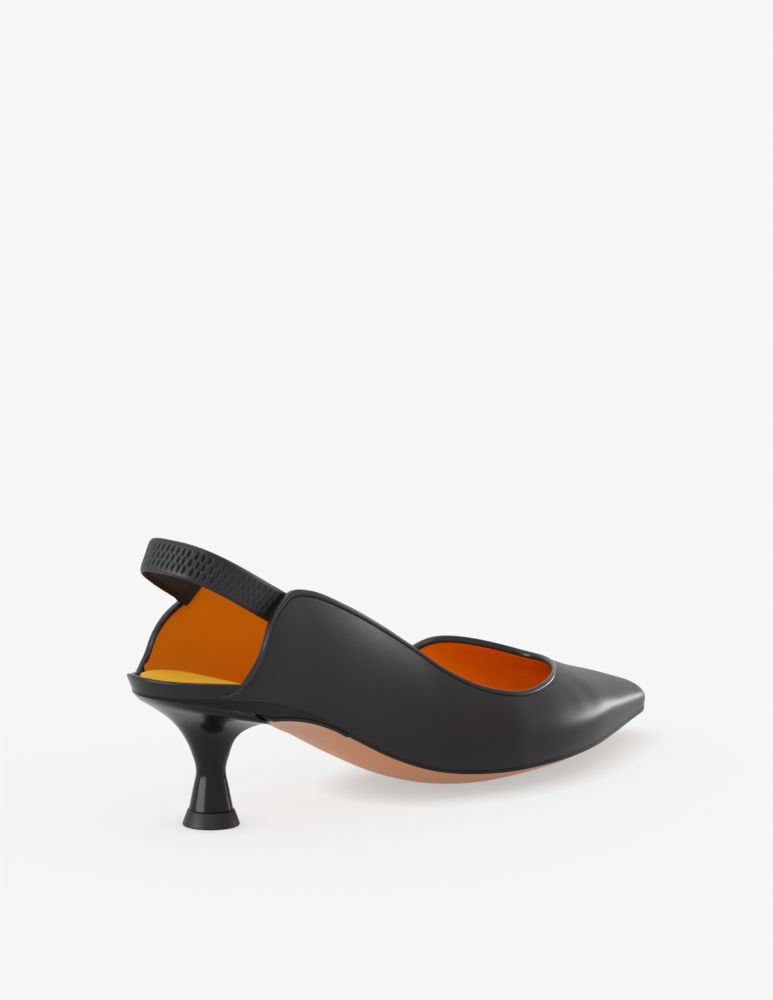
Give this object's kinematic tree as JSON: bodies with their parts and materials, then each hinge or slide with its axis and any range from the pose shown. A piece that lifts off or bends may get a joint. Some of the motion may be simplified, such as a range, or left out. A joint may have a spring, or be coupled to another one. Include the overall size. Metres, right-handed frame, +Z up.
{
  "type": "slingback pump",
  "caption": "Right-foot slingback pump with a pointed toe, a low open vamp, a ruched elastic heel strap and a flared kitten heel.",
  "frame": {"origin": "centre of the heel tip's resting face, on the floor", "axes": "+X towards the toe along the heel-to-toe axis, +Y to the inner (medial) side of the right foot, +Z up"},
  "size_m": [0.2482, 0.0776, 0.1041],
  "materials": {
    "tan_leather": "smooth vegetable-tanned sole leather",
    "black_gloss": "glossy black lacquer over a moulded heel",
    "black_rubber": "satin black top piece",
    "amber_leather": "smooth amber lining leather",
    "black_wrap": "black leather wrapped round the seat board",
    "black_nappa": "satin black nappa, amber lining inside",
    "black_binding": "raised black leather binding",
    "black_ruched": "black leather ruched over elastic"
  },
  "bodies": {
    "root": {"outsole": "tan_leather", "heel": "black_gloss", "heel_tip": "black_rubber", "insole": "amber_leather", "seat_rim": "black_wrap", "upper": "black_nappa", "binding": "black_binding", "sling_strap": "black_ruched"}
  },
  "joints": []
}
